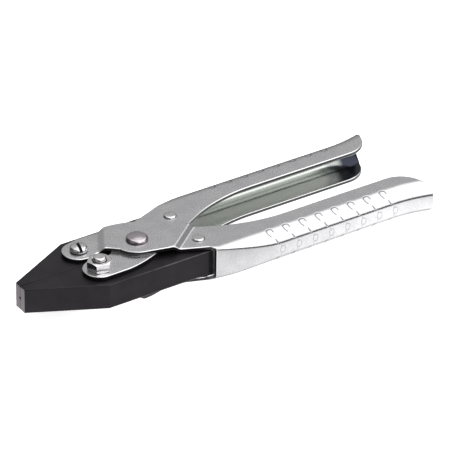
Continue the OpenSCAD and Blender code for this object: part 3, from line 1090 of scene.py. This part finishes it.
def plated_steel():
    """Satin plated sheet: fine even grain, brighter rubbed edges that also paint a highlight, cut walls
    painted dark as shade, darker marks, and a pale painted reflection inside.
    """
    material, tree, shader = new_material("plated_steel")
    place_at = object_place(tree)
    clouds = noise(tree, place_at, scale=160, detail=2)
    mottle = noise(tree, place_at, scale=950, detail=3, roughness=0.7)
    grain = noise(tree, place_at, scale=3200, detail=2, roughness=0.6)
    tree.links.new(steel_colour(tree, clouds, mottle), shader.inputs["Base Color"])
    wall_shade_mask, inner, mark = zones(tree)[1:]
    # Less metallic and rougher where the pale reflection is painted
    pale_reflection = multiply(tree, inner, mark)
    tree.links.new(remap(tree, pale_reflection, 0, 1, 1, 0.2), shader.inputs["Metallic"])
    rough = add(tree, remap(tree, grain, 0.3, 0.7, 0.24, 0.30), inner, -0.10)
    rough = add(tree, rough, pale_reflection, 0.4)
    tree.links.new(add(tree, rough, wall_shade_mask, 0.12), shader.inputs["Roughness"])
    bump(tree, shader, add(tree, grain, mottle, 0.5), distance=0.000012, strength=0.8)
    return material


def black_steel():
    """Satin black oxide, thinner on the edges, which are also painted lighter as a highlight, with bare
    ground steel on the tip's end face.
    """
    material, tree, shader = new_material("black_steel")
    place_at = object_place(tree)
    clouds = noise(tree, place_at, scale=120, detail=3)
    grain = noise(tree, place_at, scale=3000, detail=2, roughness=0.6)
    colour = mix_colour(tree, remap(tree, clouds, 0.3, 0.7), OXIDE, OXIDE_LIGHT)
    # Rubbed edges, also painted lighter as a highlight
    rub_highlight = multiply(tree, zones(tree)[3], remap(tree, clouds, 0.35, 0.6, 0.25, 0.9))
    colour = mix_colour(tree, rub_highlight, colour, OXIDE_RUBBED_HIGHLIGHT)
    tip_x = (PIVOT.x + JAW_LOW.x) * MM
    bare = remap(tree, axes(tree, place_at)["X"], tip_x + OXIDE_DEPTH, tip_x + BARE_DEPTH)
    colour = mix_colour(tree, bare, colour, GROUND_STEEL)
    tree.links.new(colour, shader.inputs["Base Color"])
    shader.inputs["Metallic"].default_value = 0.85
    tree.links.new(remap(tree, clouds, 0.3, 0.7, 0.36, 0.46), shader.inputs["Roughness"])
    bump(tree, shader, grain, distance=0.00001, strength=0.7)
    return material


def bright_metal(name, dark, light, rough, grain_height):
    """Plated turned metal: a colour and a roughness between two values each, and seats painted dark as
    shade.
    """
    material, tree, shader = new_material(name)
    place_at = object_place(tree)
    clouds = noise(tree, place_at, scale=500, detail=3)
    grain = noise(tree, place_at, scale=3500, detail=2, roughness=0.6)
    colour = mix_colour(tree, remap(tree, clouds, 0.3, 0.7), dark, light)
    # Painted shade on the seats
    colour = mix_colour(tree, zones(tree)[1], colour, HEAD_SHADE)
    tree.links.new(colour, shader.inputs["Base Color"])
    shader.inputs["Metallic"].default_value = 1
    tree.links.new(remap(tree, clouds, 0.3, 0.7, *rough), shader.inputs["Roughness"])
    bump(tree, shader, grain, grain_height, strength=0.7)
    return material


def floor_material():
    """A pale matt table that glows a little, so that the tool's shadow stays faint."""
    material, tree, shader = new_material("pale_floor")
    clouds = noise(tree, object_place(tree), scale=3, detail=2)
    colour = mix_colour(tree, clouds, (0.80, 0.80, 0.80), (0.84, 0.84, 0.84))
    tree.links.new(colour, shader.inputs["Base Color"])
    shader.inputs["Roughness"].default_value = 0.8
    shader.inputs["Specular IOR Level"].default_value = 0.1
    shader.inputs["Emission Color"].default_value = (1, 1, 1, 1)
    shader.inputs["Emission Strength"].default_value = 0.8
    return material


# ---- Pieces ----
def add_pieces():
    """The twelve pieces, each made from one of six shapes turned to its side of the tool."""
    steel, black = plated_steel(), black_steel()
    fastener = bright_metal("bright_fastener", (0.62, 0.61, 0.62), (0.76, 0.75, 0.76),
                            rough=(0.12, 0.2), grain_height=0.000006)
    rivet = bright_metal("bright_rivet", (0.42, 0.38, 0.40), (0.50, 0.46, 0.48),
                         rough=(0.16, 0.22), grain_height=0.000004)
    slot_rivet = bright_metal("slot_rivet_steel", (0.58, 0.57, 0.58), (0.72, 0.71, 0.72),
                              rough=(0.07, 0.12), grain_height=0.000003)
    handle, jaw = handle_shape(), jaw_shape()
    pivot_rivet, slot_pin, screw, nut = pivot_rivet_shape(), slot_rivet_shape(), screw_shape(), nut_shape()
    rows = [
        (handle, NEAR, "near_handle", "near_handle", "plated_steel", steel),
        (handle, UNDER, "far_handle", "far_handle", "plated_steel", steel),
        (jaw, NEAR, "near_jaw", "near_jaw", "black_steel", black),
        (jaw, FAR, "far_jaw", "far_jaw", "black_steel", black),
        (pivot_rivet, FAR, "top_pivot_rivet", "near_handle", "bright_rivet", rivet),
        (pivot_rivet, NEAR_UNDER, "bottom_pivot_rivet", "near_handle", "bright_rivet", rivet),
        (slot_pin, NEAR, "near_slot_rivet", "near_handle", "bright_rivet", slot_rivet),
        (slot_pin, FAR, "far_slot_rivet", "far_handle", "bright_rivet", slot_rivet),
        (screw, NEAR_UNDER, "near_jaw_screw", "far_handle", "bright_fastener", fastener),
        (nut, NEAR_UNDER, "near_jaw_nut", "far_handle", "bright_fastener", fastener),
        (screw, FAR, "far_jaw_screw", "near_handle", "bright_fastener", fastener),
        (nut, FAR, "far_jaw_nut", "near_handle", "bright_fastener", fastener),
    ]
    for shape, turn, name, body, slot, material in rows:
        mesh = shape.mesh(name, turn)
        if shape is screw:
            mesh = cut_slot(mesh, turn)
        place(mesh, name + "_detail", body, [name], slot, material)


# ---- Floor, light and camera ----
def add_table(name, reach, corners, drop, material):
    """A flat round sheet, this far in metres under the tool."""
    bm = bmesh.new()
    bmesh.ops.create_circle(bm, cap_ends=True, segments=corners, radius=reach)
    mesh = bpy.data.meshes.new(name)
    bm.to_mesh(mesh)
    bm.free()
    table = bpy.data.objects.new(name, mesh)
    table.location.z = cad_box[0][2] - drop
    bpy.context.scene.collection.objects.link(table)
    mesh.materials.append(material)
    return table


def ramp_of(tree, value, stops):
    """A grey level from (value, level) stops. Levels are divided by the highest of them."""
    made = node(tree, "ShaderNodeValToRGB")
    places, levels = zip(*stops)
    ramp_stops = made.color_ramp.elements
    # A new ramp has two stops already
    for _ in stops[2:]:
        ramp_stops.new(0.5)
    for stop, place_at, level in zip(ramp_stops, places, levels):
        stop.position = (place_at - places[0]) / (places[-1] - places[0])
        stop.color = (level / max(levels),) * 3 + (1,)
    tree.links.new(remap(tree, value, places[0], places[-1]), made.inputs["Fac"])
    return made.outputs["Color"]


# Brightness of the reflected table across the tool, in metres from its middle plane
ACROSS = [(0, 1.0), (0.025, 0.9), (0.0285, 0.3), (0.033, 0.9), (0.036, 1.0), (0.056, 1.0), (0.070, 0.03)]
# Along the tool its glow grows from the first strength to the second between these two places
TABLE_GLOW = (1.3, 1.75)
TABLE_FROM_X, TABLE_TO_X = 0.0, 0.08


def reflected_table_material():
    """A glow that is brighter towards the handles' end and has a soft shadow under each grip."""
    material, tree, shader = new_material("reflected_table")
    place_at = axes(tree, object_place(tree))
    away = node(tree, "ShaderNodeMath", operation="ABSOLUTE")
    tree.links.new(place_at["Y"], away.inputs[0])
    shader.inputs["Base Color"].default_value = (0, 0, 0, 1)
    shader.inputs["Roughness"].default_value = 1
    shader.inputs["Specular IOR Level"].default_value = 0
    tree.links.new(ramp_of(tree, away.outputs[0], ACROSS), shader.inputs["Emission Color"])
    glow = remap(tree, place_at["X"], TABLE_FROM_X, TABLE_TO_X, *TABLE_GLOW)
    tree.links.new(glow, shader.inputs["Emission Strength"])
    return material


def add_floor():
    """The pale floor, and a smaller table that only the metal's reflections show."""
    floor = add_table("floor", reach=4, corners=64, drop=0.0003, material=floor_material())
    floor.visible_glossy = False
    table = add_table("reflected_table", reach=0.2, corners=96, drop=0.0001,
                      material=reflected_table_material())
    table.visible_camera = False
    table.visible_diffuse = False
    table.visible_shadow = False


# Brightness round the tool's length: 0 is the near horizon, 90 overhead, 180 the far horizon
TENT = [(-180, 0.2), (-150, 0.1), (-30, 0.1), (-6, 0.03), (10, 0.03), (18, 2.0), (60, 2.2),
        (118, 2.0), (130, 0.6), (150, 0.5), (172, 0.42), (180, 0.2)]
TENT_PEAK = max(level for _, level in TENT)
# The tent is open at both of the tool's ends: where along the direction's x it fades, and to what share
HANDLE_END_FADE, HANDLE_END_LIGHT = (0.72, 0.9), 0.14
TIP_END_FADE, TIP_END_LIGHT = (-0.45, -0.1), 0.16


def add_world():
    """A light tent: bright over the tool, grey behind it, dark under it and along the horizon."""
    world = bpy.data.worlds.new("studio")
    bpy.context.scene.world = world
    world.use_nodes = True
    tree = world.node_tree
    direction = axes(tree, node(tree, "ShaderNodeTexCoord").outputs["Generated"])
    around = node(tree, "ShaderNodeMath", operation="ARCTAN2")
    tree.links.new(direction["Z"], around.inputs[0])
    tree.links.new(multiply(tree, direction["Y"], -1), around.inputs[1])
    degrees = remap(tree, around.outputs[0], -math.pi, math.pi, -180, 180)
    background = tree.nodes["Background"]
    tree.links.new(ramp_of(tree, degrees, TENT), background.inputs["Color"])
    handle_end = remap(tree, direction["X"], *HANDLE_END_FADE, TENT_PEAK, HANDLE_END_LIGHT * TENT_PEAK)
    tip_end = remap(tree, direction["X"], *TIP_END_FADE, TIP_END_LIGHT, 1)
    tree.links.new(multiply(tree, handle_end, tip_end), background.inputs["Strength"])


# The camera's turn from the tool's near side, its rise and its roll, in degrees
CAMERA_ANGLES = (-34.341, 31.257, 0.863)
# Its distance in metres from a place that is given in millimetres from the pivot
CAMERA_DISTANCE = 1.6647
CAMERA_TARGET = Vector((48.6, 2.75, -0.1))
LENS_MM = 297.837
SENSOR_MM = 36


def add_camera():
    """The view over the jaws' tip from the near side."""
    azimuth, elevation, roll = (math.radians(angle) for angle in CAMERA_ANGLES)
    back = Vector((math.sin(azimuth) * math.cos(elevation), -math.cos(azimuth) * math.cos(elevation),
                   math.sin(elevation)))
    level = Vector((math.cos(azimuth), math.sin(azimuth), 0))
    upright = back.cross(level)
    right = level * math.cos(roll) + upright * math.sin(roll)
    up = upright * math.cos(roll) - level * math.sin(roll)
    data = bpy.data.cameras.new("camera")
    data.sensor_width = SENSOR_MM
    data.lens = LENS_MM
    data.clip_end = 20
    camera = bpy.data.objects.new("camera", data)
    pose = Matrix((right, up, back)).transposed().to_4x4()
    pose.translation = (PIVOT + CAMERA_TARGET) * MM + back * CAMERA_DISTANCE
    camera.matrix_world = pose
    bpy.context.scene.collection.objects.link(camera)
    bpy.context.scene.camera = camera


add_pieces()
add_floor()
add_world()
add_camera()
bpy.context.scene.view_settings.view_transform = "Standard"
